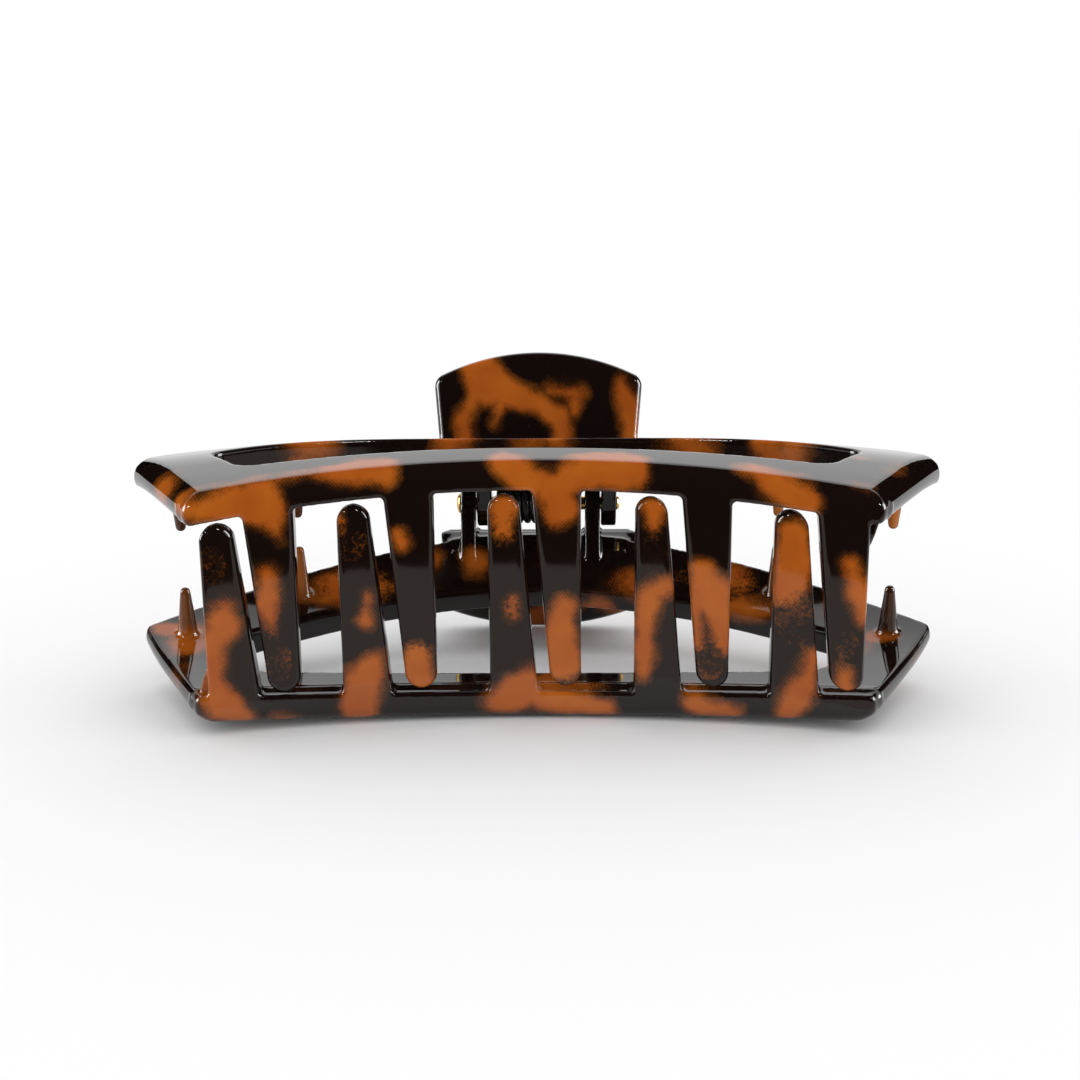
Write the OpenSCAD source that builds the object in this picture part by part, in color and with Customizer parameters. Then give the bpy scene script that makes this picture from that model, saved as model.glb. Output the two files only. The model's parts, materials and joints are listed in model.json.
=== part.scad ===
// Claw clip for hair: two equal moulded jaws that interleave their teeth,
// a hinge pin through four lugs, and a torsion spring that holds the jaws shut.
// Each jaw is drawn as the upper one, with the hinge axis on X and the teeth pointing down,
// towards -Y of the hinge. The lower jaw is the same moulding turned half round about Y.

/* [Jaw outline, seen from above] */
// Distance from the hinge to the middle of the toothed edge
reach = 39.5; // [37:0.5:42]
// Radius of the hollow bow of the toothed edge
bow_r = 126; // [115:1:150]
// Half width of the toothed edge, at the front corners
corner_x = 42.6; // [41:0.2:44]
// Half width at the widest corners, before they are rounded
side_x = 53.3; // [52:0.1:54]
// Radius of the rounded rear edge
rear_r = 73; // [70:1:78]
// Gap between the hinge axis and the rear edge
rear_gap = 0.5; // [0.5:0.1:1]
// Rounding of the widest corners
side_round = 4; // [3:0.5:4.5]

/* [Jaw shell] */
// Height of the outer surface above the hinge, at its highest
top_z = 17.4; // [17:0.1:18]
// Thickness of the shell at its highest
shell_t = 3.7; // [3.4:0.1:4]
// Distance from the hinge to the line where the shell stops rising
crest_y = 33; // [32:0.5:34]
// Radius of the outer surface behind that line
outer_r = 57.5; // [56:0.5:60]
// Radius of the inner surface behind that line
inner_r = 62; // [61:0.5:64]
// Radius of the long arch from side to side
arch_r = 460; // [430:10:520]

/* [Window] */
// Distance from the hinge to the front edge of the window
window_front = 32; // [31.5:0.1:32.5]
// Radius of the window's front edge
window_bow_r = 213; // [200:1:230]
// Half width of the window's front edge
window_front_x = 38.4; // [37:0.2:39]
// Distance from the hinge to the rear edge of the window
window_rear = 10.2; // [10:0.1:11]
// Radius of the window's rear edge
window_rear_r = 66; // [64:1:68]
// Half width of the window's rear edge
window_rear_x = 42.4; // [41.5:0.2:43]
// Rounding of the window's corners
window_round = 2; // [1.5:0.1:2.5]

/* [Teeth] */
// Straight edge of each tooth, from the middle of the clip
tooth_x = [-29.9, -12.7, 5.9, 24.7, 41.2];
// Width at the root
tooth_root = 6.3; // [6:0.1:6.6]
// Width just below the rounded tip
tooth_tip = 4.1; // [3.8:0.1:4.3]
// Thickness from front to back
tooth_t = 3.2; // [2.8:0.1:3.4]
// Gap that a tip leaves to the opposite jaw
tip_gap = 0.8; // [0.7:0.1:1.2]

/* [Inner pins] */
// Places of the pins on the end bars, to the side and towards the teeth
end_pin = [47.6, 25.4];
// Places of the pins on the rear bar, to the side and towards the teeth
rear_pin = [33.6, 13.6];
// Height of the end pins' tips above the middle plane
end_pin_z = 4; // [3.5:0.1:5]
// Height of the rear pins' tips above the middle plane
rear_pin_z = 2.1; // [2:0.1:3]
// Radius of a pin at its foot
pin_foot_r = 1.6; // [1.4:0.1:1.7]
// Radius of a pin at its tip
pin_tip_r = 0.7; // [0.6:0.05:0.8]

/* [Handle] */
// Half width of the handle near its tip
handle_x = 15.05; // [14:0.05:15.5]
// Half width of the handle at its foot
handle_foot_x = 14.7; // [13.8:0.1:15]
// Length of the handle from its foot to the top of its arched tip
handle_l = 17.4; // [17:0.1:18]
// Radius of the arched tip
handle_tip_r = 32; // [28:1:40]
// Thickness of the handle
handle_t = 2.8; // [2.5:0.1:3]
// Backward lean of the handle
handle_lean = 20; // [18:1:22]
// Foot of the handle behind and above the hinge
handle_foot = [0.4, 4.7];
// Rounding of the handle's corners
handle_round = 1.6; // [1:0.1:2]

/* [Hinge] */
// Radius of the hinge pin
pin_r = 1; // [0.9:0.05:1.1]
// Radial running clearance in the lugs
pin_clear = 0.04; // [0.03:0.01:0.06]
// Radius of the lugs
lug_r = 3.3; // [3:0.1:3.4]
// Thickness of a lug
lug_t = 2.2; // [2:0.05:2.3]
// Inner face of the inner lugs, from the middle of the clip
lug_inner_x = 6.75; // [6.6:0.05:6.9]
// Gap between two lugs, side by side
lug_gap = 0.15; // [0.1:0.05:0.2]
// Radius of the pin's domed head
head_r = 1.5; // [1.4:0.05:1.7]
// Height of the pin's domed head
head_h = 0.6; // [0.5:0.1:0.8]
// Length of pin standing out at its plain end
pin_end = 0.5; // [0.4:0.1:0.7]

/* [Spring] */
// Mean radius of the coil
coil_r = 2.45; // [2.3:0.05:2.5]
// Diameter of the wire
wire_d = 1.1; // [1:0.05:1.15]
// Half length of the coil
coil_half = 6.3; // [6:0.1:6.4]
// Length of each leg
leg_l = 12; // [11:0.5:12.5]
// Backward lean of each leg
leg_lean = 13; // [12.5:0.5:15]

/* [Hidden] */
$fn = 96;
big_fn = 720;
arc_n = 14;
round_n = 5;
wedge = 20;
plan_h = 40;
sheet_z = 2.5;
joint_lap = 0.6;
// Angle along an arc from a corner to a point past it
past_a = 6;
// Angles that the rounded corners take off their arcs
trim_front_a = 0.6;
trim_rear_a = 2.5;
trim_tip_a = 3;
trim_side = 0.8;
tooth_lap = 1.2;
front_lap = 3;
// Web beside the outermost tooth: width, height, thickness and the place of its rear face
gusset_w = 1.6;
gusset_h = 4.6;
gusset_t = 1.2;
gusset_y = -44.2;
// Side outlines, behind and above the hinge, of the fill at the handle's root and of the land at the lugs
root_x = 14.9;
root_side = [[1, 9.25], [-0.75, 7.75], [-3.4, 8.6], [-3.4, 7.2], [-1.2, 5.5], [0.6, 5]];
// Side outline of a lug's foot
lug_foot = [[-5.9, 7.2], [-0.5, 5.8], [1.6, 5.2]];
land_x = 12.6;
land_side = [[0.6, 6.6], [-6.2, 8.8], [-6.2, 8], [-4.6, 6.1], [-1.2, 5.1], [0.6, 4.9]];
lug_outer_x = lug_inner_x + lug_t + lug_gap;
pin_lo = -lug_outer_x - lug_t - lug_gap;
pin_hi = lug_outer_x + lug_t + pin_end;
handle_end = handle_foot + handle_l * [sin(handle_lean), cos(handle_lean)];
tip_low = handle_end[1] + handle_t / 2 * sin(handle_lean);
tip_low_y = handle_end[0] - handle_t / 2 * cos(handle_lean);
// The closed clip rests on the middle of the lower front bar and on the lower handle's tip
rest_tilt = atan((tip_low - top_z) / (reach + tip_low_y));
rest_z = reach * sin(rest_tilt) + top_z * cos(rest_tilt);
rest_y = 19.31;

function arc(c, r, a, b, n) = [for (i = [0:n]) c + r * [cos(a + (b - a) * i / n), sin(a + (b - a) * i / n)]];
function unit(v) = v / norm(v);
function turn(a, b, c) = atan2(unit(c - b)[1], unit(c - b)[0]) - atan2(unit(b - a)[1], unit(b - a)[0]);
function wrap(t) = t > 180 ? t - 360 : (t < -180 ? t + 360 : t);
// Points of a round of radius r that touches the lines a-b and b-c
function fillet(a, b, c, r) =
    let (t = wrap(turn(a, b, c)), s = sign(t), d = r * tan(abs(t) / 2), u = unit(b - a))
    let (q = b - d * u, m = q + s * r * [-u[1], u[0]], w = atan2(q[1] - m[1], q[0] - m[0]))
    arc(m, r, w, w + t, round_n);
// A closed outline from its right half, which starts and ends on the middle line
function both_sides(h) = concat(h, [for (i = [len(h) - 2:-1:1]) [-h[i][0], h[i][1]]]);

front_c = [0, -reach - bow_r];
rear_c = [0, -rear_gap - rear_r];
front_a = acos(corner_x / bow_r);
front_corner = front_c + bow_r * [cos(front_a), sin(front_a)];
side_corner = [side_x, rear_c[1] + sqrt(rear_r ^ 2 - side_x ^ 2)];
side_a = acos(side_x / rear_r);
side_trim = asin(side_round * trim_side / rear_r);
front_end = front_corner - front_lap * unit(side_corner - front_corner);
// The front of this outline is cut back to the bow when the jaw is whole
jaw_half = concat(
    [[0, front_end[1]], front_end],
    fillet(front_corner, side_corner,
        rear_c + rear_r * [cos(side_a + past_a), sin(side_a + past_a)], side_round),
    arc(rear_c, rear_r, side_a + side_trim, 90, arc_n)
);

win_front_c = [0, -window_front - window_bow_r];
win_rear_c = [0, -window_rear - window_rear_r];
win_front_a = acos(window_front_x / window_bow_r);
win_rear_a = acos(window_rear_x / window_rear_r);
win_front_corner = win_front_c + window_bow_r * [cos(win_front_a), sin(win_front_a)];
win_rear_corner = win_rear_c + window_rear_r * [cos(win_rear_a), sin(win_rear_a)];
window_half = concat(
    arc(win_front_c, window_bow_r, 90, win_front_a + trim_front_a, arc_n),
    fillet(win_front_c + window_bow_r * [cos(win_front_a + past_a), sin(win_front_a + past_a)],
        win_front_corner, win_rear_corner, window_round),
    fillet(win_front_corner, win_rear_corner,
        win_rear_c + window_rear_r * [cos(win_rear_a + past_a), sin(win_rear_a + past_a)], window_round),
    arc(win_rear_c, window_rear_r, win_rear_a + trim_rear_a, 90, arc_n)
);

function inner_z(x) = top_z - shell_t - arch_r + sqrt(arch_r ^ 2 - x ^ 2);
function shell_z(x, y) = inner_z(x) - inner_r + sqrt(inner_r ^ 2 - (y - crest_y) ^ 2);

module vault(r, z) {
    // Solid under a surface arched from side to side, round behind the crest and straight ahead of it
    translate([0, -crest_y, z - arch_r]) rotate([90, 0, 0]) rotate([0, 0, 90 - wedge / 2])
        rotate_extrude(angle = wedge, $fn = big_fn) translate([arch_r - r, 0]) union() {
            circle(r, $fn = 2 * $fn);
            square([r, plan_h]);
        }
}

module shell() {
    difference() {
        intersection() {
            translate([0, 0, sheet_z]) linear_extrude(plan_h) polygon(both_sides(jaw_half));
            vault(outer_r, top_z);
        }
        vault(inner_r, top_z - shell_t);
        linear_extrude(plan_h) polygon(both_sides(window_half));
    }
}

module tooth(x) {
    // x is the tooth's straight edge and the other edge slopes towards it
    z = inner_z(x);
    tip = tip_gap - z;
    r = tooth_tip / 2;
    intersection() {
        translate([0, -reach + 2 * tooth_t, 0]) rotate([90, 0, 0]) linear_extrude(6 * tooth_t) union() {
            polygon([[x, z + tooth_lap], [x, tip + r],
                [x - tooth_tip, tip + r], [x - tooth_root, z + tooth_lap]]);
            translate([x - r, tip + r]) circle(r);
        }
        bow(bow_r + tooth_t);
    }
}

module gusset() {
    // Small web beside the outermost tooth, behind the front bar's face
    x = tooth_x[len(tooth_x) - 1];
    z = inner_z(x);
    translate([0, gusset_y, 0]) rotate([90, 0, 0]) linear_extrude(gusset_t)
        polygon([[x - joint_lap, z + joint_lap], [x + gusset_w, z + joint_lap],
            [x + gusset_w, z - joint_lap / 2], [x, z - gusset_h], [x - joint_lap, z - gusset_h]]);
}

module bow(r) {
    // Upright cylinder in front of the clip, about the centre of its bow
    translate([0, front_c[1], -plan_h]) cylinder(h = 2 * plan_h, r = r, $fn = big_fn);
}

module inner_pin(place, tip_z) {
    foot = shell_z(place[0], place[1]) + joint_lap;
    for (s = [-1, 1]) translate([s * place[0], -place[1], tip_z + pin_tip_r]) {
        cylinder(h = foot - tip_z - pin_tip_r, r1 = pin_tip_r, r2 = pin_foot_r, $fn = 32);
        sphere(pin_tip_r, $fn = 32);
    }
}

module handle() {
    top_c = [0, handle_l - handle_tip_r];
    a = acos(handle_x / handle_tip_r);
    corner = top_c + handle_tip_r * [cos(a), sin(a)];
    near = top_c + handle_tip_r * [cos(a + past_a), sin(a + past_a)];
    half = concat([[0, 0], [handle_foot_x, 0]], fillet([handle_foot_x, 0], corner, near, handle_round),
        arc(top_c, handle_tip_r, a + trim_tip_a, 90, arc_n));
    translate([0, handle_foot[0], handle_foot[1]]) rotate([90 - handle_lean, 0, 0])
        translate([0, 0, -handle_t / 2]) linear_extrude(handle_t) polygon(both_sides(half));
}

module root() {
    // Fill between the rear edge of the shell and the front face of the handle, and the land at the lugs
    rotate([90, 0, 90]) translate([0, 0, -root_x]) linear_extrude(2 * root_x) polygon(root_side);
    rotate([90, 0, 90]) translate([0, 0, -land_x]) linear_extrude(2 * land_x) polygon(land_side);
}

module lug(x) {
    // A flat ear from the shell and the handle's foot down to the hinge
    translate([x, 0, 0]) rotate([90, 0, 90]) linear_extrude(lug_t) union() {
        circle(lug_r);
        polygon(concat([[-lug_r, 0]], lug_foot, [[lug_r, 0]]));
    }
}

module jaw() {
    difference() {
        union() {
            shell();
            for (x = tooth_x) tooth(x);
            gusset();
            inner_pin(end_pin, end_pin_z);
            inner_pin(rear_pin, rear_pin_z);
            handle();
            root();
            lug(lug_outer_x);
            lug(-lug_inner_x - lug_t);
        }
        bow(bow_r);
        translate([-side_x, 0, 0]) rotate([0, 90, 0]) cylinder(h = 2 * side_x, r = pin_r + pin_clear);
    }
}

module place() {
    // From the hinge's own axes to the clip as it lies, origin under its middle
    translate([0, rest_y, rest_z]) rotate([rest_tilt, 0, 0]) children();
}

module upper_jaw() {
    color([0.30, 0.14, 0.05]) place() jaw();
}

module lower_jaw() {
    color([0.34, 0.16, 0.06]) place() rotate([0, 180, 0]) jaw();
}

module hinge_pin() {
    color([0.80, 0.62, 0.28]) place() translate([pin_lo, 0, 0]) rotate([0, 90, 0]) rotate_extrude() union() {
        square([pin_r, pin_hi - pin_lo]);
        intersection() {
            translate([0, -head_h]) square([head_r, head_h]);
            translate([0, dome_r() - head_h]) circle(dome_r());
        }
    }
}

function dome_r() = (head_r ^ 2 + head_h ^ 2) / (2 * head_h);

module spring_leg(x) {
    translate([x, coil_r, 0]) rotate([-leg_lean, 0, 0]) cylinder(h = leg_l, d = wire_d, $fn = 32);
}

module torsion_spring() {
    color([0.10, 0.10, 0.11]) place() {
        rotate([0, 90, 0]) difference() {
            cylinder(h = 2 * coil_half, r = coil_r + wire_d / 2, center = true);
            cylinder(h = 2 * coil_half + wire_d, r = coil_r - wire_d / 2, center = true);
        }
        spring_leg(coil_half - wire_d);
        rotate([0, 180, 0]) spring_leg(coil_half - wire_d);
    }
}

lower_jaw();
upper_jaw();
hinge_pin();
torsion_spring();
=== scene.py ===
"""Claw clip in polished tortoiseshell plastic, closed, lying on a pale table."""

import json
import math

import bpy
import numpy as np
from mathutils import Matrix, Vector


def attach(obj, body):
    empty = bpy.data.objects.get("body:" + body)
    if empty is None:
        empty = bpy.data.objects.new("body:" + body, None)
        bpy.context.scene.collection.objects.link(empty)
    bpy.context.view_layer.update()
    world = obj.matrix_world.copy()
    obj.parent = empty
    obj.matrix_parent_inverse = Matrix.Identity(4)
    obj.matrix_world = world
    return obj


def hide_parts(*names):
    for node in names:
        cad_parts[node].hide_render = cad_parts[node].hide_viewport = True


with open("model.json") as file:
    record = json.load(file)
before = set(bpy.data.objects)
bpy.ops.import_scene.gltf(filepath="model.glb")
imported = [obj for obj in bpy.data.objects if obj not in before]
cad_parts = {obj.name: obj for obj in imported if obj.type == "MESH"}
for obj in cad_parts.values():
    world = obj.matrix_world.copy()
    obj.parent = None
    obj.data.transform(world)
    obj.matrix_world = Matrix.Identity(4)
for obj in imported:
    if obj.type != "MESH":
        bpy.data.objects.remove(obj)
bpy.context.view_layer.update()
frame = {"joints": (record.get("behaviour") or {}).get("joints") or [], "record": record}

MM = 0.001

# ---------------------------------------------------------------------------
# The clip's own axes: hinge axis on X, z = 0 is the middle plane between the
# two equal jaws, and the teeth are towards -Y. Lengths there are millimetres.
# ---------------------------------------------------------------------------
HINGE = Vector(frame["joints"][0]["pos_m"])
FACES = [Vector(m["axis"]) for m in frame["record"]["mounts"]]
FORWARD = FACES[0] + FACES[1]
TILT = math.atan2(-FORWARD.z, -FORWARD.y)
TO_FRAME = Matrix.Translation(HINGE) @ Matrix.Rotation(TILT, 4, "X") @ Matrix.Scale(MM, 4)
TURNED = Matrix.Rotation(math.pi, 4, "Y")

# Jaw outline and shell
REACH, BOW_R, REAR_R, REAR_GAP = 39.5, 126.0, 73.0, 0.5
TOP_Z, SHELL_T, CREST_Y = 17.4, 3.7, 33.0
OUTER_R, INNER_R, ARCH_R = 57.5, 62.0, 460.0
FRONT_ROUND, EDGE_ROUND, BAR_TOP_DROP = 1.9, 1.2, 1.9
DROOP_L, OUTER_DROOP, INNER_DROOP = 13.4, 0.3, 0.45
END_AT, END_N, BEVEL = (43.1, -46.9), (0.894, -0.448), 1.4
# Window
WIN_FRONT, WIN_BOW_R, WIN_FRONT_X = 32.0, 213.0, 38.4
WIN_REAR, WIN_REAR_R, WIN_REAR_X, WIN_ROUND = 10.2, 66.0, 42.4, 2.0
# Teeth
TOOTH_X = (-29.9, -12.7, 5.9, 24.7, 41.2)
TOOTH_ROOT, TOOTH_TIP, TOOTH_T, TIP_GAP = 6.3, 4.1, 3.2, 0.8
TOOTH_CORNER, TOOTH_THINNING, TOOTH_TAPER_L = 0.7, 0.9, 22
# Inner pins: side, towards the teeth, height of the tip
PINS = ((47.6, 25.4, 4.0), (33.6, 13.6, 2.1))
PIN_FOOT_R, PIN_TIP_R = 1.6, 0.7
# Handle
HANDLE_X, HANDLE_FOOT_X, HANDLE_L, HANDLE_TIP_R = 15.6, 14.1, 17.5, 32.0
HANDLE_T, HANDLE_LEAN, HANDLE_FOOT, HANDLE_ROUND = 2.8, math.radians(20), (0.4, 4.7), 1.2
HANDLE_EDGE = 1.25
# Hinge and spring
PIN_R, PIN_CLEAR, LUG_R, LUG_T, LUG_IN, LUG_GAP = 1.0, 0.04, 3.3, 2.2, 6.75, 0.15
LUG_OUT = LUG_IN + LUG_T + LUG_GAP
HEAD_R, HEAD_H, PIN_END = 1.5, 0.6, 0.5
WEB_W, WEB_H = 1.6, 4.6
ROOT_X = 14.2
ROOT_SIDE = [(1, 9.0), (-0.75, 7.75), (-3.4, 8.5), (-3.4, 7.2), (-1.2, 5.5), (0.6, 5)]
LAND_X = 12.6
LAND_SIDE = [(0.6, 6.6), (-6.2, 8.6), (-6.2, 8), (-4.6, 6.1), (-1.2, 5.1), (0.6, 4.9)]
LUG_SIDE = [(-LUG_R, 0), (-LUG_R - 2.6, 7.2), (-0.5, 5.8), (1.6, 5.2), (LUG_R, 0)]
COIL_R, WIRE_D, COIL_HALF, LEG_L, LEG_LEAN = 2.45, 1.1, 6.3, 12.0, math.radians(13)
TURN_PITCH = 1.02  # from one turn to the next, in wire widths

CELL = 0.3  # grid step of the jaw's surface, in mm


# ---------------------------------------------------------------------------
# Distance fields, negative inside
# ---------------------------------------------------------------------------
def meet(a, b, r):
    """Intersection whose edge is rounded to radius r."""
    corner = np.hypot(np.maximum(a + r, 0), np.maximum(b + r, 0))
    return np.minimum(np.maximum(a + r, b + r), 0) + corner - r


def join(a, b, r):
    """Union whose corner is filled to radius r."""
    r = np.maximum(r, 1e-6)
    return np.maximum(np.minimum(a, b), r) - np.hypot(np.maximum(r - a, 0), np.maximum(r - b, 0))


def polygon_distance(points, x, y):
    """Signed distance from (x, y) to a closed outline."""
    best = np.full(np.broadcast(x, y).shape, 1e9)
    inside = np.zeros(best.shape, bool)
    n = len(points)
    for i in range(n):
        (ax, ay), (bx, by) = points[i], points[(i + 1) % n]
        ex, ey = bx - ax, by - ay
        wx, wy = x - ax, y - ay
        t = np.clip((wx * ex + wy * ey) / (ex * ex + ey * ey), 0, 1)
        best = np.minimum(best, (wx - ex * t) ** 2 + (wy - ey * t) ** 2)
        if ey != 0:
            crosses = ((ay > y) != (by > y)) & (wx < wy * ex / ey)
            inside ^= crosses
    return np.where(inside, -1, 1) * np.sqrt(best)


def window_field(x, y):
    """The opening between two arcs and two slanting ends."""
    front_y, rear_y = -WIN_FRONT - WIN_BOW_R, -WIN_REAR - WIN_REAR_R
    near_x, far_x = WIN_FRONT_X - WIN_ROUND, WIN_REAR_X - WIN_ROUND
    near_y = front_y + math.sqrt((WIN_BOW_R + WIN_ROUND) ** 2 - near_x**2)
    far_y = rear_y + math.sqrt((WIN_REAR_R - WIN_ROUND) ** 2 - far_x**2)
    size = math.hypot(far_x - near_x, far_y - near_y)
    end = ((np.abs(x) - near_x) * (far_y - near_y) - (y - near_y) * (far_x - near_x)) / size - WIN_ROUND
    arcs = np.maximum(np.hypot(x, y - rear_y) - WIN_REAR_R, WIN_BOW_R - np.hypot(x, y - front_y))
    return meet(arcs, end, WIN_ROUND)


def teeth_and_bar(x, z, level, bow, end, inner):
    """The toothed comb: corners filled in its own plane, edges rounded front and back."""
    comb = np.maximum(inner, level - TOP_Z + BAR_TOP_DROP)
    base = TOP_Z - SHELL_T - ARCH_R
    for edge in TOOTH_X:
        root = base + math.sqrt(ARCH_R**2 - edge**2)
        tip = TIP_GAP - root
        r = TOOTH_TIP / 2
        slope = (TOOTH_ROOT - TOOTH_TIP) / (root + 1.2 - tip - r)
        side = (edge - TOOTH_TIP - slope * (z - tip - r) - x) / math.hypot(1, slope)
        tooth = meet(np.maximum(x - edge, side), tip - z, r)
        tooth = np.maximum(tooth, z - root - 1.0)
        comb = join(comb, tooth, TOOTH_CORNER)
    thin = np.clip((TOP_Z - SHELL_T - level) / TOOTH_TAPER_L, 0, 1) * TOOTH_THINNING
    comb = meet(comb, meet(bow, -bow - TOOTH_T + thin, 0.8), 0.7)
    # small web beside the outermost tooth, behind its face
    edge = TOOTH_X[-1]
    root = base + math.sqrt(ARCH_R**2 - edge**2)
    slant = (x - edge - WEB_W + (root - z) * WEB_W / WEB_H) * 0.93
    web = np.maximum(np.maximum(edge - 0.6 - x, z - root - 0.8), slant)
    web = meet(web, np.abs(-bow - 2.1) - 0.6, 0.3)
    return meet(join(comb, web, 0.3), end, EDGE_ROUND)


def inner_pins(x, y, z, outer):
    field = np.full(x.shape, 1e3)
    foot = TOP_Z - SHELL_T - 1.2
    for side_x, ahead, tip_z in PINS:
        rho = np.hypot(np.abs(x) - side_x, y + ahead)
        t = (z - tip_z - PIN_TIP_R) / (foot - tip_z - PIN_TIP_R)
        cone = rho - PIN_TIP_R - (PIN_FOOT_R - PIN_TIP_R) * np.clip(t, 0, 1.3)
        ball = np.hypot(rho, z - tip_z - PIN_TIP_R) - PIN_TIP_R
        field = np.minimum(field, np.where(t < 0, ball, np.maximum(cone, outer + 1.6)))
    return field


def handle_plate(x, y, z):
    up = (y - HANDLE_FOOT[0]) * math.sin(HANDLE_LEAN) + (z - HANDLE_FOOT[1]) * math.cos(HANDLE_LEAN)
    out = (y - HANDLE_FOOT[0]) * math.cos(HANDLE_LEAN) - (z - HANDLE_FOOT[1]) * math.sin(HANDLE_LEAN)
    spread = (HANDLE_X - HANDLE_FOOT_X) / HANDLE_L
    side = (np.abs(x) - HANDLE_FOOT_X - up * spread) / math.hypot(1, spread)
    tip = np.hypot(x, up - HANDLE_L + HANDLE_TIP_R) - HANDLE_TIP_R
    tab = meet(meet(tip, side, HANDLE_ROUND), np.abs(out) - HANDLE_T / 2, HANDLE_EDGE)
    return np.maximum(tab, 0.3 - up)


def jaw_field(x, y, z):
    """Signed distance to the upper jaw, in the clip's own axes."""
    # height with the long arch taken out
    level = np.sqrt(x**2 + (z + ARCH_R - TOP_Z) ** 2) - (ARCH_R - TOP_Z)
    ahead = y < -CREST_Y
    sag = np.clip((-CREST_Y - y) / DROOP_L, 0, 1) ** 2
    vault = np.hypot(y + CREST_Y, level - TOP_Z + OUTER_R) - OUTER_R
    outer = np.where(ahead, level - TOP_Z + OUTER_DROOP * sag, vault)
    under = level - TOP_Z + SHELL_T
    vault = INNER_R - np.hypot(y + CREST_Y, under + INNER_R)
    inner = np.where(ahead, -under - INNER_DROOP * sag, vault)
    flat_x, flat_y = x[:, :, :1], y[:, :, :1]
    bow = BOW_R - np.hypot(flat_x, flat_y + REACH + BOW_R)
    rear = np.hypot(flat_x, flat_y + REAR_GAP + REAR_R) - REAR_R
    window = window_field(flat_x, flat_y)
    # the end faces lean in towards the gap side
    end = (np.abs(x) - END_AT[0]) * END_N[0] + (y - END_AT[1]) * END_N[1]
    end = end + 0.3 * np.clip(TOP_Z - level - 1.6, 0, 3.2)
    # a wide bevel runs round the outer edge of both ends
    bevel = (outer + end) * math.sqrt(0.5) + BEVEL
    shell = meet(outer, bow, FRONT_ROUND)
    shell = meet(shell, rear, EDGE_ROUND)
    shell = meet(shell, bevel, 0.8)
    shell = meet(shell, meet(end, rear + 0 * end, EDGE_ROUND), 0.7)
    shell = meet(shell, inner, 0.5)
    shell = meet(shell, -window, 0.6)
    comb = teeth_and_bar(x, z, level, bow, end, inner)
    fill = np.clip((-bow - 1.2) / 1.5, 0, 1) * 0.9
    body = join(shell, comb, fill)
    body = join(body, inner_pins(x, y, z, outer), 0.7)
    body = join(body, handle_plate(x, y, z), 1.6)
    # the handle's root and the raised land at the lugs
    near = (np.abs(x) < 18) & (y > -9) & (z > -6)
    part = body[near]
    px, py, pz = x[near], y[near], z[near]
    root = np.maximum(polygon_distance(ROOT_SIDE, py, pz), np.abs(px) - ROOT_X)
    part = join(part, root, 1.0)
    land = meet(polygon_distance(LAND_SIDE, py, pz), np.abs(px) - LAND_X, 0.5)
    part = join(part, land, 0.6)
    ear = polygon_distance(LUG_SIDE, py, pz)
    ear = join(np.hypot(py, pz) - LUG_R, ear, 0.8)
    for low in (LUG_OUT, -LUG_IN - LUG_T):
        slab = np.abs(px - low - LUG_T / 2) - LUG_T / 2
        part = join(part, meet(ear, slab, 0.3), 0.6)
    part = meet(part, PIN_R + PIN_CLEAR - np.hypot(py, pz), 0.2)
    body[near] = part
    return body


def settle(field, points, step):
    """Points moved along the field's gradient until they lie on its zero surface."""
    h = 0.02
    for _ in range(2):
        p = points[:, None, None, :]
        at = [p[..., i] for i in range(3)]
        f = field(*at).ravel()
        slope = []
        for i in range(3):
            moved = list(at)
            moved[i] = at[i] + h
            slope.append((field(*moved).ravel() - f) / h)
        slope = np.stack(slope, 1)
        length = np.maximum((slope**2).sum(1), 0.25)
        shift = slope * (f / length)[:, None]
        size = np.linalg.norm(shift, axis=1, keepdims=True)
        points = points - shift * np.minimum(1, 0.6 * step / np.maximum(size, 1e-9))
    return points


def surface(field, low, high, step):
    """Points and quads of the field's zero surface: one point in each crossed cell, then settled."""
    axes = [np.arange(a, b + step, step) for a, b in zip(low, high)]
    x, y, z = np.meshgrid(*axes, indexing="ij")
    f = field(x, y, z)
    sign = f < 0
    n = np.array(f.shape)
    cells = n - 1
    total = np.zeros(tuple(cells) + (3,))
    count = np.zeros(tuple(cells))
    corners = [(i, j, k) for i in (0, 1) for j in (0, 1) for k in (0, 1)]
    for c in corners:
        for axis in range(3):
            if c[axis]:
                continue
            d = list(c)
            d[axis] = 1
            a = f[tuple(slice(i, i + m) for i, m in zip(c, cells))]
            b = f[tuple(slice(i, i + m) for i, m in zip(d, cells))]
            cross = (a < 0) != (b < 0)
            t = np.where(cross, a / np.where(cross, a - b, 1), 0)
            for m in range(3):
                total[..., m] += np.where(cross, t if m == axis else c[m], 0)
            count += cross
    live = count > 0
    index = np.full(tuple(cells), -1)
    index[live] = np.arange(live.sum())
    where = np.argwhere(live)
    points = (total[live] / count[live][:, None] + where) * step + np.array([a[0] for a in axes])
    points = settle(field, points, step)
    quads = []
    for axis in range(3):
        u, v = (axis + 1) % 3, (axis + 2) % 3
        a = sign[tuple(slice(0, n[m] - 1) if m == axis else slice(1, n[m] - 1) for m in range(3))]
        b = sign[tuple(slice(1, n[m]) if m == axis else slice(1, n[m] - 1) for m in range(3))]
        at = np.argwhere(a != b)
        flip = a[a != b]
        base = at.copy()
        base[:, u] += 1
        base[:, v] += 1
        around = []
        for du, dv in ((0, 0), (1, 0), (1, 1), (0, 1)):
            q = base.copy()
            q[:, u] -= du
            q[:, v] -= dv
            around.append(index[q[:, 0], q[:, 1], q[:, 2]])
        quad = np.stack(around, 1)
        quad[flip] = quad[flip][:, ::-1]
        quads.append(quad)
    return points, np.concatenate(quads)[:, ::-1]


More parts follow.
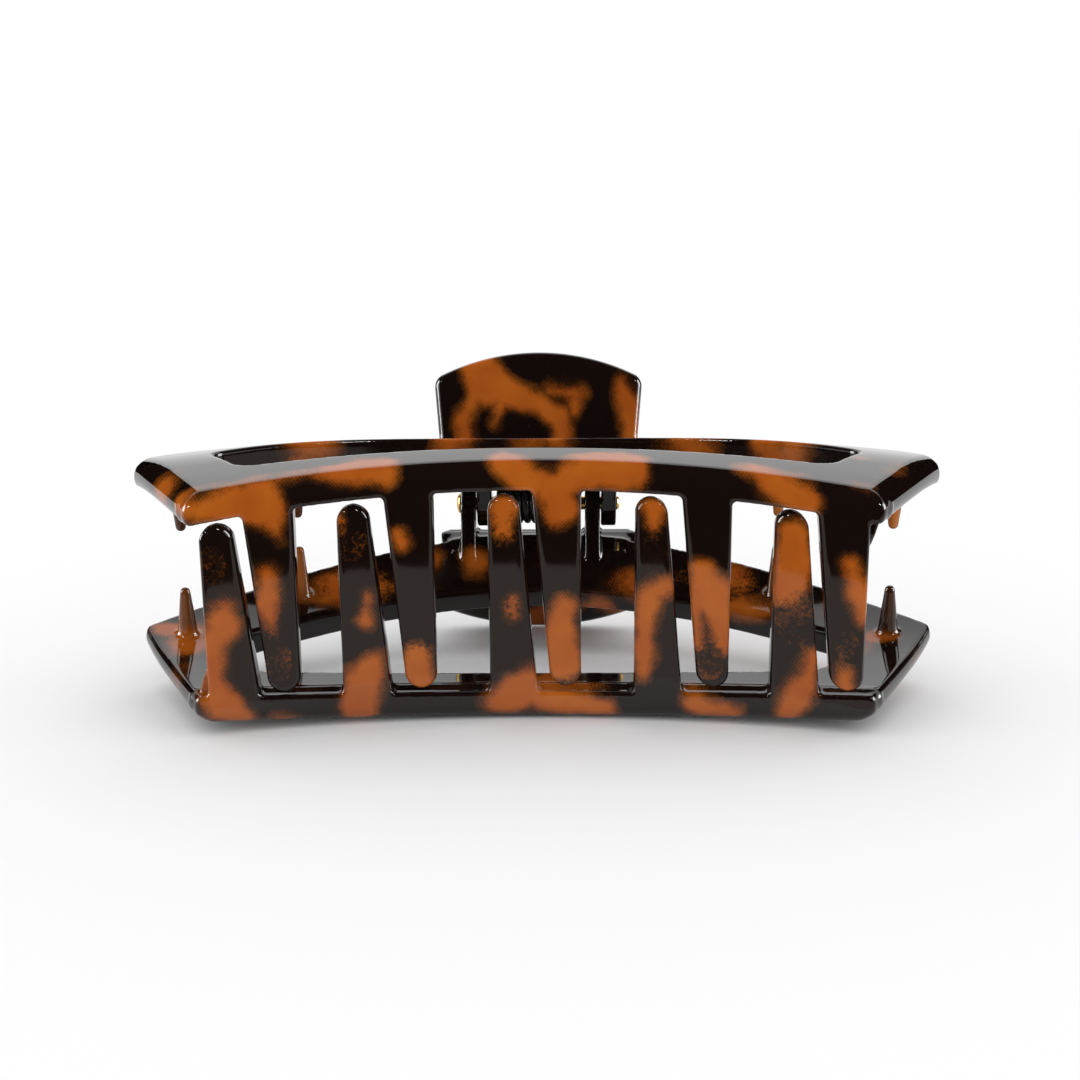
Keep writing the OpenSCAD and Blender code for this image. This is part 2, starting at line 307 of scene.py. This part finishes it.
def mesh_from(name, points, quads):
    mesh = bpy.data.meshes.new(name)
    mesh.vertices.add(len(points))
    mesh.vertices.foreach_set("co", points.astype(np.float32).ravel())
    mesh.loops.add(quads.size)
    mesh.loops.foreach_set("vertex_index", quads.astype(np.int32).ravel())
    mesh.polygons.add(len(quads))
    mesh.polygons.foreach_set("loop_start", np.arange(0, quads.size, 4, dtype=np.int32))
    mesh.polygons.foreach_set("loop_total", np.full(len(quads), 4, np.int32))
    mesh.polygons.foreach_set("use_smooth", np.ones(len(quads), bool))
    mesh.update(calc_edges=True)
    mesh.validate()
    return mesh


def link(name, mesh):
    piece = bpy.data.objects.new(name, mesh)
    bpy.context.scene.collection.objects.link(piece)
    return piece


# ---------------------------------------------------------------------------
# Materials
# ---------------------------------------------------------------------------
class Nodes:
    """Short calls that build a node tree."""

    def __init__(self, name):
        self.made = bpy.data.materials.new(name)
        self.made.use_nodes = True
        self.tree = self.made.node_tree
        self.shader = self.tree.nodes["Principled BSDF"]

    def add(self, kind, **values):
        node = self.tree.nodes.new(kind)
        for key, value in values.items():
            if hasattr(node, key):
                setattr(node, key, value)
            else:
                node.inputs[key.replace("_", " ")].default_value = value
        return node

    def math(self, operation, a, b=0.0, clamp=False):
        node = self.add("ShaderNodeMath", operation=operation, use_clamp=clamp)
        for socket, value in zip(node.inputs, (a, b)):
            self.put(socket, value)
        return node.outputs[0]

    def put(self, socket, value):
        if isinstance(value, bpy.types.NodeSocket):
            self.tree.links.new(value, socket)
        else:
            socket.default_value = value

    def field(self, name):
        return self.add("ShaderNodeAttribute", attribute_name=name).outputs["Fac"]

    def noise(self, scale, detail=2.0, roughness=0.5, place=None):
        node = self.add("ShaderNodeTexNoise", Scale=scale, Detail=detail, Roughness=roughness)
        if place is not None:
            self.tree.links.new(place, node.inputs["Vector"])
        return node.outputs["Fac"]

    def ramp(self, value, stops):
        node = self.add("ShaderNodeValToRGB")
        marks = node.color_ramp.elements
        while len(marks) < len(stops):
            marks.new(0.5)
        for mark, (at, colour) in zip(marks, stops):
            mark.position, mark.color = at, (*colour, 1)
        self.put(node.inputs["Fac"], value)
        return node.outputs["Color"]

    def mix(self, amount, a, b):
        node = self.add("ShaderNodeMix", data_type="RGBA")
        self.put(node.inputs["Factor"], amount)
        for socket, value in ((node.inputs["A"], a), (node.inputs["B"], b)):
            self.put(socket, (*value, 1) if isinstance(value, tuple) else value)
        return node.outputs["Result"]


BLACK, UMBER, BROWN = (0.0075, 0.0038, 0.003), (0.014, 0.006, 0.003), (0.034, 0.010, 0.0025)
RUST, ORANGE, GOLD = (0.15, 0.034, 0.0045), (0.33, 0.072, 0.008), (0.47, 0.125, 0.012)
# the inner pins' dark and clear amber colours, then the painted shade put on their sides
PIN_DARK, PIN_CLEAR_AMBER, PIN_RIM_PAINTED_SHADE = (0.05, 0.015, 0.004), (0.66, 0.19, 0.024), (0.02, 0.007, 0.003)
DUST = (0.35, 0.28, 0.22)
GLOSS, INDEX = 0.06, 1.49


def tortoiseshell():
    """Cloudy amber patches in near-black plastic; "amber" is the distance into a patch, in millimetres."""
    n = Nodes("tortoiseshell")
    place = n.add("ShaderNodeTexCoord").outputs["Object"]
    wander = n.math("MULTIPLY", n.math("SUBTRACT", n.noise(230, 3, 0.5, place), 0.5), 3.0)
    fray = n.math("MULTIPLY", n.math("SUBTRACT", n.noise(2600, 4, 0.7, place), 0.5), 1.1)
    depth = n.math("ADD", n.math("ADD", n.field("amber"), wander), fray)
    # fine slanting hatch along the borders
    hatch = 0.0
    for turn in (0.7, -0.7):
        lines = n.add("ShaderNodeTexWave", bands_direction="X", Scale=880.0, Distortion=1.0, Detail=1.0)
        lines.inputs["Detail Scale"].default_value = 300.0
        slant = n.add("ShaderNodeMapping")
        slant.inputs["Rotation"].default_value = (0, turn, 0)
        n.tree.links.new(place, slant.inputs["Vector"])
        n.tree.links.new(slant.outputs["Vector"], lines.inputs["Vector"])
        hatch = n.math("ADD", n.math("MULTIPLY", lines.outputs["Fac"], 0.22), hatch)
    away = n.math("ABSOLUTE", n.math("ADD", depth, -0.2))
    near = n.math("SUBTRACT", 1.0, n.math("MULTIPLY", away, 0.9), clamp=True)
    depth = n.math("ADD", depth, n.math("MULTIPLY", n.math("SUBTRACT", hatch, 0.22), near))
    # speckled areas near the tips
    specks = n.math("MULTIPLY", n.math("SUBTRACT", n.noise(1500, 5, 0.8, place), 0.5), 9.0)
    depth = n.math("ADD", depth, n.math("MULTIPLY", specks, n.field("mottle")))
    tone = n.math("MULTIPLY", n.math("ADD", depth, 0.7), 0.5, clamp=True)
    tint = n.ramp(tone, ((0.0, BLACK), (0.22, UMBER), (0.42, BROWN), (0.64, RUST), (1.0, ORANGE)))
    glow = n.ramp(n.noise(150, 2, 0.5, place), ((0.35, (0, 0, 0)), (0.70, (1, 1, 1))))
    tint = n.mix(n.math("MULTIPLY", n.math("MULTIPLY", glow, tone), 0.6), tint, GOLD)
    # the inner pins are opaque too; Layer Weight paints shade on their sides, darker where they turn away
    # from the view, to suggest clear plastic
    rim = n.add("ShaderNodeLayerWeight", Blend=0.6).outputs["Facing"]
    glass = n.mix(n.field("clear"), PIN_DARK, PIN_CLEAR_AMBER)
    glass = n.mix(n.math("MULTIPLY", rim, 0.7), glass, PIN_RIM_PAINTED_SHADE)
    tint = n.mix(n.math("MULTIPLY", n.field("thin"), 0.9), tint, glass)
    dust = n.ramp(n.noise(5200, 1, 0.5, place), ((0.80, (0, 0, 0)), (0.84, (1, 1, 1))))
    tint = n.mix(n.math("MULTIPLY", dust, 0.25), tint, DUST)
    n.tree.links.new(tint, n.shader.inputs["Base Color"])
    n.shader.inputs["Roughness"].default_value = GLOSS
    n.shader.inputs["IOR"].default_value = INDEX
    swell = n.add("ShaderNodeBump", Strength=0.35, Distance=0.00008)
    n.tree.links.new(n.noise(170, 1, 0.4, place), swell.inputs["Height"])
    n.tree.links.new(swell.outputs["Normal"], n.shader.inputs["Normal"])
    return n.made


def metal(name, colour, roughness, metallic, grain):
    n = Nodes(name)
    place = n.add("ShaderNodeTexCoord").outputs["Object"]
    patch = n.noise(grain, 3, 0.6, place)
    dim = tuple(0.7 * c for c in colour)
    n.tree.links.new(n.mix(patch, colour, dim), n.shader.inputs["Base Color"])
    rough = n.math("ADD", n.math("MULTIPLY", patch, 0.12), roughness - 0.06)
    n.tree.links.new(rough, n.shader.inputs["Roughness"])
    n.shader.inputs["Metallic"].default_value = metallic
    return n.made


def plain(name, colour, roughness):
    n = Nodes(name)
    n.shader.inputs["Base Color"].default_value = (*colour, 1)
    n.shader.inputs["Roughness"].default_value = roughness
    n.shader.inputs["Specular IOR Level"].default_value = 0.0
    return n.made


def emitter(name, colour, strength):
    n = Nodes(name)
    n.shader.inputs["Base Color"].default_value = (0, 0, 0, 1)
    n.shader.inputs["Specular IOR Level"].default_value = 0.0
    n.shader.inputs["Emission Color"].default_value = (*colour, 1)
    n.shader.inputs["Emission Strength"].default_value = strength
    return n.made


# ---------------------------------------------------------------------------
# Pattern of the plastic, in the clip's axes. A stroke is a path of (x, z, half width).
# ---------------------------------------------------------------------------
FRONT = -43.0
MOST_DEPTH, STROKE_SPREAD, FRONT_FADE, FRONT_KEEP = 3.2, 0.4, 0.8, 3.4
UPPER_STROKES = (
    # front bar, left to right
    ((-43.5, 13.6, 1.2), (-38, 13.2, 2.0), (-34.2, 13.6, 3.0), (-32.6, 12.6, 2.0), (-31.4, 8.5, 0.2)),
    ((-35.5, 16.8, 1.0), (-28, 17.4, 0.9), (-22, 17.0, 1.9), (-18.6, 16.4, 1.4)),
    ((-4, 17.2, 1.6), (0, 14.8, 2.0), (3, 14.4, 2.2), (8, 16.6, 2.5), (12.6, 16.2, 2.0)),
    ((2.4, 14, 2.6), (3.2, 11.8, 2.5)),
    ((25.6, 17.2, 0.8), (28.5, 16, 1.5), (30.4, 14.8, 1.9), (33.6, 13.4, 1.8)),
    ((28, 18.6, 1.6), (32, 18, 1.3)),
    ((40.5, 17.2, 1.4), (43.6, 16.8, 1.2)),
    # teeth, left to right
    ((-33.2, 4.4, 1.2), (-33.6, 0.8, 1.6), (-32.8, -3.2, 0.7)),
    ((-17.2, 8.6, 0.6), (-16.6, 6.8, 0.5)), ((-15, -8.8, 1.9), (-14.9, -12, 2.6)),
    ((3.6, -2, 1.3), (3, -5.5, 2.4), (3.4, -9.6, 2.6)),
    ((21.2, 3.6, 1.4), (22.6, 0.6, 2.9), (23.8, -3.4, 1.8), (24, -6.4, 1.0)),
    ((20.4, -1, 1.2), (20.6, -6.6, 0.6)),
    ((39.2, 5.6, 1.0), (40, 3, 1.7), (41.1, -0.6, 1.0)), ((39, -9.2, 1.3), (39, -11.6, 1.5)),
)
LOWER_STROKES = (
    # teeth, left to right
    ((-38.4, 0.6, 1.0), (-38.8, -2, 1.9), (-40.4, -4.2, 1.5), (-40.6, -9, 1.8), (-39.4, -13, 2.2),
     (-37.2, -14.6, 1.2)),
    ((-24.2, 11, 0.5), (-24, 9.4, 0.2)), ((-21.2, 0.4, 0.4), (-21.6, -2.8, 0.9)),
    ((-20.6, -8.6, 1.2), (-22.2, -11.6, 2.5), (-22.8, -15, 2.4)),
    ((-4, 11.2, 1.9), (-4, 8.6, 0.9)), ((-2.8, -0.6, 0.4), (-2.8, -3, 0.6)),
    ((15, 11.8, 1.6), (15, 10, 0.8)),
    ((16.8, 1.4, 1.2), (14.6, 0.4, 1.4), (14, -3.6, 1.7), (14.1, -8, 1.3), (13.8, -11, 0.5)),
    ((32.4, 9.2, 1.7), (32.6, 5.4, 2.3), (31, 1.8, 1.5)),
    ((35.2, -6.8, 0.8), (34.2, -11, 1.8), (32, -14.8, 1.4)),
    # front bar
    ((-33, -15.6, 0.7), (-31, -15.4, 0.7)),
    ((-4.8, -15, 1.9), (-0.4, -12.8, 2.8), (4.6, -15.2, 1.9), (9, -15.6, 1.4)),
    ((20.6, -14.6, 1.4), (25.6, -15.6, 1.0)),
)
# Strokes on the thumb tabs, each in its own jaw's axes
UPPER_TAB = (
    ((-8.7, 20.4, 2.5), (-7.6, 17.4, 3.3), (-4, 15.6, 2.0), (0.4, 14.4, 1.7), (3, 12.4, 1.6), (3.6, 9, 1.1)),
    ((-9.4, 15.6, 1.3), (-11, 12, 1.1), (-10.4, 8, 1.5), (-7, 7, 1.0)),
    ((-5.4, 14.4, 1.1), (-6.2, 11.8, 0.5)),
    ((1.8, 16.2, 0.9), (5.6, 15.8, 1.2), (5.2, 13.2, 0.5)),
    ((12, 17.4, 0.7), (13.2, 14.4, 1.4), (13.8, 9, 1.2)),
)
LOWER_TAB = (
    ((-13, 18, 0.8), (-7, 15, 2.6), (-1, 18.6, 2.2), (3, 20.4, 1.0)),
    ((4, 8, 1.2), (8, 12.5, 2.4), (13.4, 15, 1.8)),
    ((-12, 8, 1.4), (-5, 9, 1.6), (-2, 12, 0.8)),
)
# Patches as (x, y, z, half sizes), away from the front
UPPER_AMBER = (
    (-47, -38, 14, 3, 4, 2), (46, -36, 17, 2.4, 4, 2.4), (-33, -16, 14, 6, 4, 4),
    (-12, -9, 12, 4.5, 4, 4), (22, -11, 12, 5, 4, 4), (36, -18, 13, 4, 4, 4),
)
LOWER_AMBER = (
    (-47, -27, -11.6, 3.6, 5, 3), (-46, -37, -13, 1.6, 4, 1.6), (50, -27, -13, 2, 5, 1.6),
    (-27, -12, -9, 6, 5, 2.6), (-17, -7, -6, 3, 5, 2.4), (-9, -6, -7, 2.6, 4, 2), (27, -9, -8, 4, 5, 2.4),
)
# Speckled areas, mostly near the teeth's tips, given in the same way
UPPER_MOTTLE = (
    (-33.2, FRONT, -7.5, 3.4, 6, 5.5), (-15, FRONT, -7, 3, 6, 2.2), (3.6, FRONT, -12, 3, 6, 2.2),
    (1.6, FRONT, 17.6, 2, 5, 1.4), (22.2, FRONT, -8.6, 3, 6, 4), (39.2, FRONT, -4.6, 3, 6, 4),
)
LOWER_MOTTLE = (
    (-40, FRONT, 6, 3.4, 6, 5.5), (-23, FRONT, 8, 3.4, 6, 4.6), (-4, FRONT, 8, 3.4, 6, 4.6),
    (-3, FRONT, -2, 3, 6, 3), (15.2, FRONT, 6, 3.4, 6, 4.6), (33, FRONT, -2, 4, 6, 5),
    (-22, -11, -9, 12, 6, 3), (22, -11, -9, 12, 6, 3),
)
# How clear the pins' amber is: end pins left and right, rear pins left and right
UPPER_CLEAR, LOWER_CLEAR = (0.05, 1.0, 0.15, 1.0), (0.22, 0.0, 0.6, 0.25)


def patches(points, blobs):
    """Rough distance into the nearest patch, in millimetres, positive inside."""
    best = np.full(len(points), -6.0)
    for blob in blobs:
        centre, size = np.array(blob[:3]), np.array(blob[3:])
        q = np.sqrt((((points - centre) / size) ** 2).sum(1))
        best = np.maximum(best, (1 - q) * min(size[0], size[2], MOST_DEPTH))
    return best


def strokes(x, z, paths):
    """Depth into the nearest stroke, in millimetres, positive inside."""
    best = np.full(len(x), -7.0)
    for path in paths:
        for (ax, az, a), (bx, bz, b) in zip(path, path[1:]):
            ex, ez = bx - ax, bz - az
            t = np.clip(((x - ax) * ex + (z - az) * ez) / (ex * ex + ez * ez), 0, 1)
            best = np.maximum(best, a + (b - a) * t - np.hypot(x - ax - ex * t, z - az - ez * t))
    return best + STROKE_SPREAD


def scattered(seed):
    """Random patches over the ends, the rear bar and the hinge."""
    rng = np.random.default_rng(seed)
    made = []
    for _ in range(34):
        x, y = rng.uniform(-50, 50), rng.uniform(-30, 6)
        z = rng.uniform(7, 18) if y < 0 else rng.uniform(5, 20)
        made.append((x, y, z, rng.uniform(2.2, 5.5), rng.uniform(2, 5), rng.uniform(2, 4)))
    return made


def pattern(mesh, points, turned):
    """Store the plastic's pattern on the jaw, in the clip's own axes."""
    here = points * np.array([-1, 1, -1]) if turned else points
    x, y, z = here.T
    rise = np.abs(points[:, 2])
    # the strokes lie on the front and on the tab, and fade away from there
    behind = np.hypot(x, y + REACH + BOW_R) - BOW_R - FRONT_KEEP
    front = strokes(x, z, LOWER_STROKES if turned else UPPER_STROKES) - FRONT_FADE * np.maximum(behind, 0)
    tab = strokes(points[:, 0], points[:, 2], LOWER_TAB if turned else UPPER_TAB)
    tab = np.where(y > -2, tab - 1.2 * np.maximum(8.5 - rise, 0), -6)
    wild = patches(points, scattered(11 if turned else 4))
    wild = wild - 1.2 * np.maximum(-32 - y, 0) - np.where(y > -2, 1.5 * np.maximum(rise - 7.5, 0), 0)
    placed = patches(here, LOWER_AMBER if turned else UPPER_AMBER)
    amber = np.maximum(np.maximum(front, tab), np.maximum(wild, placed))
    mottle = np.clip(patches(here, LOWER_MOTTLE if turned else UPPER_MOTTLE) * 0.5, 0, 0.5)
    amber = np.maximum(amber, 10.6 * mottle - 6)
    clear = LOWER_CLEAR if turned else UPPER_CLEAR
    thin, amount = np.zeros(len(points)), np.zeros(len(points))
    for i, (side_x, ahead, _) in enumerate(PINS):
        for j, side in enumerate((-1, 1)):
            rho = np.hypot(here[:, 0] - side * side_x, here[:, 1] + ahead)
            below = np.clip((TOP_Z - SHELL_T - 3 - points[:, 2]) / 3, 0, 1)
            mask = np.clip((2.5 - rho) / 0.7, 0, 1) * below
            thin = np.maximum(thin, mask)
            amount = np.where(mask > 0, clear[2 * i + j], amount)
    for name, value in (("amber", amber), ("mottle", mottle), ("thin", thin), ("clear", amount)):
        layer = mesh.attributes.new(name, "FLOAT", "POINT")
        layer.data.foreach_set("value", value.astype(np.float32))


# ---------------------------------------------------------------------------
# Camera. Its place, angles and lens come from fitting the jaws' corners to the
# photo; lengths are millimetres in the clip's own axes, angles are radians.
# ---------------------------------------------------------------------------
CAM_LIFT = math.radians(17.0)  # above the middle plane, seen from the hinge
CAM_PITCH, CAM_YAW, CAM_ROLL = 0.31608, -0.01444, -0.00762
CAM_FAR, CAM_SIDE, CAM_LENS, SENSOR = 280.0, 4.01, 63.465, 36.0


def make_camera():
    place = Vector((CAM_SIDE, -CAM_FAR * math.cos(CAM_LIFT), CAM_FAR * math.sin(CAM_LIFT)))
    look = Vector((math.sin(CAM_YAW) * math.cos(CAM_PITCH), math.cos(CAM_YAW) * math.cos(CAM_PITCH),
                   -math.sin(CAM_PITCH)))
    right = look.cross(Vector((0, 0, 1))).normalized()
    up = right.cross(look)
    right, up = (math.cos(CAM_ROLL) * right + math.sin(CAM_ROLL) * up,
                 math.cos(CAM_ROLL) * up - math.sin(CAM_ROLL) * right)
    data = bpy.data.cameras.new("camera")
    data.lens, data.sensor_width = CAM_LENS, SENSOR
    data.clip_start, data.clip_end = 0.01, 20
    camera = bpy.data.objects.new("camera", data)
    bpy.context.scene.collection.objects.link(camera)
    turn = Matrix.Rotation(TILT, 3, "X")
    axes = Matrix((turn @ right, turn @ up, -(turn @ look))).transposed()
    camera.matrix_world = Matrix.Translation(TO_FRAME @ place) @ axes.to_4x4()
    bpy.context.scene.camera = camera


make_camera()

# ---------------------------------------------------------------------------
# Pieces
# ---------------------------------------------------------------------------
points, quads = surface(jaw_field, (-54.5, -51, -13.5), (54.5, 8.5, 23), CELL)
shell_plastic = tortoiseshell()
brass = metal("pin_brass", (0.80, 0.50, 0.14), 0.22, 1.0, 900)
wire = metal("spring_wire", (0.012, 0.011, 0.011), 0.28, 0.0, 1200)


def make_jaw(name, turn, node, body):
    mesh = mesh_from(name, points, quads)
    pattern(mesh, points, turn is TURNED)
    mesh.transform(TO_FRAME @ turn)
    mesh.materials.append(shell_plastic)
    jaw = link(name, mesh)
    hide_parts(node)
    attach(jaw, body)
    return jaw


make_jaw("upper_jaw_moulding", Matrix.Identity(4), "upper_jaw", "upper_body")
make_jaw("lower_jaw_moulding", TURNED, "lower_jaw", "lower_body")


def tube(path, radius, sides=12):
    """Points and faces of a round wire along a path, with a round nose at its start."""
    path = np.array(path, float)
    ahead = np.gradient(path, axis=0)
    ahead /= np.linalg.norm(ahead, axis=1, keepdims=True)
    side = np.cross(ahead, np.array([1.0, 0.13, 0.07]))
    side /= np.linalg.norm(side, axis=1, keepdims=True)
    other = np.cross(ahead, side)
    size = np.full(len(path), radius)
    size[:4] = radius * np.array([0.3, 0.7, 0.92, 1])
    t = np.linspace(0, 2 * math.pi, sides, endpoint=False)
    ring = side[:, None] * np.cos(t)[None, :, None] + other[:, None] * np.sin(t)[None, :, None]
    verts = (path[:, None] + ring * size[:, None, None]).reshape(-1, 3)
    faces = []
    for i in range(len(path) - 1):
        for j in range(sides):
            k = (j + 1) % sides
            faces.append((i * sides + j, i * sides + k, (i + 1) * sides + k, (i + 1) * sides + j))
    caps = [tuple(range(sides))[::-1], tuple(range((len(path) - 1) * sides, len(path) * sides))]
    return verts, faces + caps


def solid(name, verts, faces, material, node, body, sharp=None):
    mesh = bpy.data.meshes.new(name)
    mesh.from_pydata([tuple(v) for v in verts], [], faces)
    mesh.transform(TO_FRAME)
    for face in mesh.polygons:
        face.use_smooth = True
    if sharp:
        mesh.set_sharp_from_angle(angle=math.radians(sharp))
    mesh.materials.append(material)
    piece = link(name, mesh)
    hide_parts(node)
    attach(piece, body)


# Shares of the leg's length, from its round end down; tube() narrows the first three
LEG_STEPS = (1, 0.99, 0.975, 0.955, 0.8, 0.6, 0.4, 0.2, 0.08, 0.03)


def spring_path(side):
    """One leg from its end down to the coil, then half of the close turns; side is +1 for the upper leg."""
    turns = COIL_HALF / WIRE_D / TURN_PITCH - 0.5
    leg_x = side * (COIL_HALF - WIRE_D / 2)
    foot = np.array([leg_x, COIL_R * math.cos(LEG_LEAN), -side * COIL_R * math.sin(LEG_LEAN)])
    along = np.array([0, math.sin(LEG_LEAN), side * math.cos(LEG_LEAN)])
    leg = [foot + along * LEG_L * t for t in LEG_STEPS]
    start = -LEG_LEAN * side
    coil = []
    for t in np.linspace(0, turns, int(turns * 22)):
        angle = start - side * 2 * math.pi * t
        x = leg_x - side * t * WIRE_D * TURN_PITCH
        coil.append((x, COIL_R * math.cos(angle), COIL_R * math.sin(angle)))
    return leg + coil


for label, side, body in (("upper", 1, "upper_body"), ("lower", -1, "lower_body")):
    verts, faces = tube(spring_path(side), WIRE_D / 2)
    solid("spring_" + label + "_half", verts, faces, wire, "torsion_spring", body)


def turned_profile(profile, sides=32):
    """Points and faces of a profile of (x, radius) spun about the hinge axis."""
    verts, faces = [], []
    for x, r in profile:
        for j in range(sides):
            t = 2 * math.pi * j / sides
            verts.append((x, r * math.cos(t), r * math.sin(t)))
    for i in range(len(profile) - 1):
        for j in range(sides):
            k = (j + 1) % sides
            faces.append((i * sides + j, (i + 1) * sides + j, (i + 1) * sides + k, i * sides + k))
    faces.append(tuple(range(sides)))
    faces.append(tuple(range((len(profile) - 1) * sides, len(profile) * sides))[::-1])
    return verts, faces


PIN_LOW, PIN_HIGH = -LUG_OUT - LUG_T - LUG_GAP, LUG_OUT + LUG_T + PIN_END
dome = []
for t in np.linspace(0, math.pi / 2, 8):
    dome.append((PIN_LOW - HEAD_H * math.cos(t), HEAD_R * (0.12 + 0.88 * math.sin(t))))
shank = [(PIN_LOW, HEAD_R), (PIN_LOW, PIN_R), (PIN_HIGH - 0.25, PIN_R), (PIN_HIGH, PIN_R - 0.22)]
verts, faces = turned_profile(dome + shank)
solid("hinge_pin_turned", verts, faces, brass, "hinge_pin", "lower_body", sharp=40)

# ---------------------------------------------------------------------------
# Stage
# ---------------------------------------------------------------------------
WHITE, TABLE = 1.2, (0.84, 0.84, 0.845)


def sheet(name, corners, faces, material, reflected_only=True):
    mesh = bpy.data.meshes.new(name)
    mesh.from_pydata(corners, [], faces)
    mesh.materials.append(material)
    piece = link(name, mesh)
    if reflected_only:
        piece.visible_camera = False
        piece.visible_diffuse = False
        piece.visible_shadow = False
        piece.visible_transmission = False
    return piece


def level_sheet(name, half_x, near_y, far_y, z, material, reflected_only=True):
    corners = [(-half_x, near_y, z), (half_x, near_y, z), (half_x, far_y, z), (-half_x, far_y, z)]
    sheet(name, corners, [(0, 1, 2, 3)], material, reflected_only)


def curved_wall(name, radius, angles, low, high, material):
    rim = [(radius * math.cos(math.radians(a)), radius * math.sin(math.radians(a))) for a in angles]
    wall = [(x, y, low) for x, y in rim] + [(x, y, high) for x, y in rim]
    n = len(rim)
    sheet(name, wall, [(i, i + 1, n + 1 + i, n + i) for i in range(n - 1)], material)


level_sheet("table_top", 6, -6, 6, 0, plain("pale_table", TABLE, 0.7), False)

# A dark studio in front and overhead, which only reflections see
void = emitter("dark_room", (0, 0, 0), 0.0)
FLAG_NEAR, FLAG_R, FLAG_LOW, FLAG_TOP, FLAG_BACK, FLAG_X = -0.066, 1.6, 0.002, 1.15, 0.75, 2
GROUND_Z = 0.001
for label, first, last in (("front", -146, -34), ("left", 115, 148), ("right", 32, 65)):
    curved_wall("dark_wall_" + label, FLAG_R, np.linspace(first, last, 20), FLAG_LOW, FLAG_TOP, void)
level_sheet("dark_ceiling", FLAG_X, -FLAG_X, FLAG_BACK, FLAG_TOP, void)
level_sheet("dark_ground", FLAG_X, -FLAG_X, FLAG_NEAR, GROUND_Z, void)

# The table just in front of the clip looks dimmer and warmer in reflections
SHADE_FAR = -0.030
shade = emitter("near_shade", (1, 0.88, 0.82), 0.62)
level_sheet("near_ground", FLAG_X, FLAG_NEAR, SHADE_FAR, GROUND_Z, shade)

# Two small bright lamps high in front, left and right
LAMP_OUT, LAMP_UP, LAMP_HALF_W, LAMP_HALF_H = 0.62, 0.78, 0.055, 0.08
lamp = emitter("lamp", (1, 0.98, 0.95), 45)
for side in (-1, 1):
    at = Vector((side * LAMP_OUT, -LAMP_OUT, LAMP_UP))
    across = Vector((0.7, side * 0.7, 0)) * LAMP_HALF_W
    rise = Vector((-side * 0.35, 0.35, 0.6)) * LAMP_HALF_H
    corners = [tuple(at + across * a + rise * b) for a, b in ((-1, -1), (1, -1), (1, 1), (-1, 1))]
    sheet("lamp_left" if side < 0 else "lamp_right", corners, [(0, 1, 2, 3)], lamp)

# A tall lamp at each side, for the thin bright lines along upright edges
strip = emitter("side_lamp", (1, 1, 1), 14)
SIDE_LAMP_R, SIDE_LAMP_LOW, SIDE_LAMP_HIGH = 1.5, 0.05, 1.1
for label, middle in (("side_lamp_left", 178), ("side_lamp_right", 2)):
    angles = [middle + a for a in (-16, -5, 5, 16)]
    curved_wall(label, SIDE_LAMP_R, angles, SIDE_LAMP_LOW, SIDE_LAMP_HIGH, strip)

world = bpy.data.worlds.new("studio")
bpy.context.scene.world = world
world.use_nodes = True
world.node_tree.nodes["Background"].inputs["Color"].default_value = (1, 1, 1, 1)
world.node_tree.nodes["Background"].inputs["Strength"].default_value = WHITE
bpy.context.scene.view_settings.view_transform = "Standard"
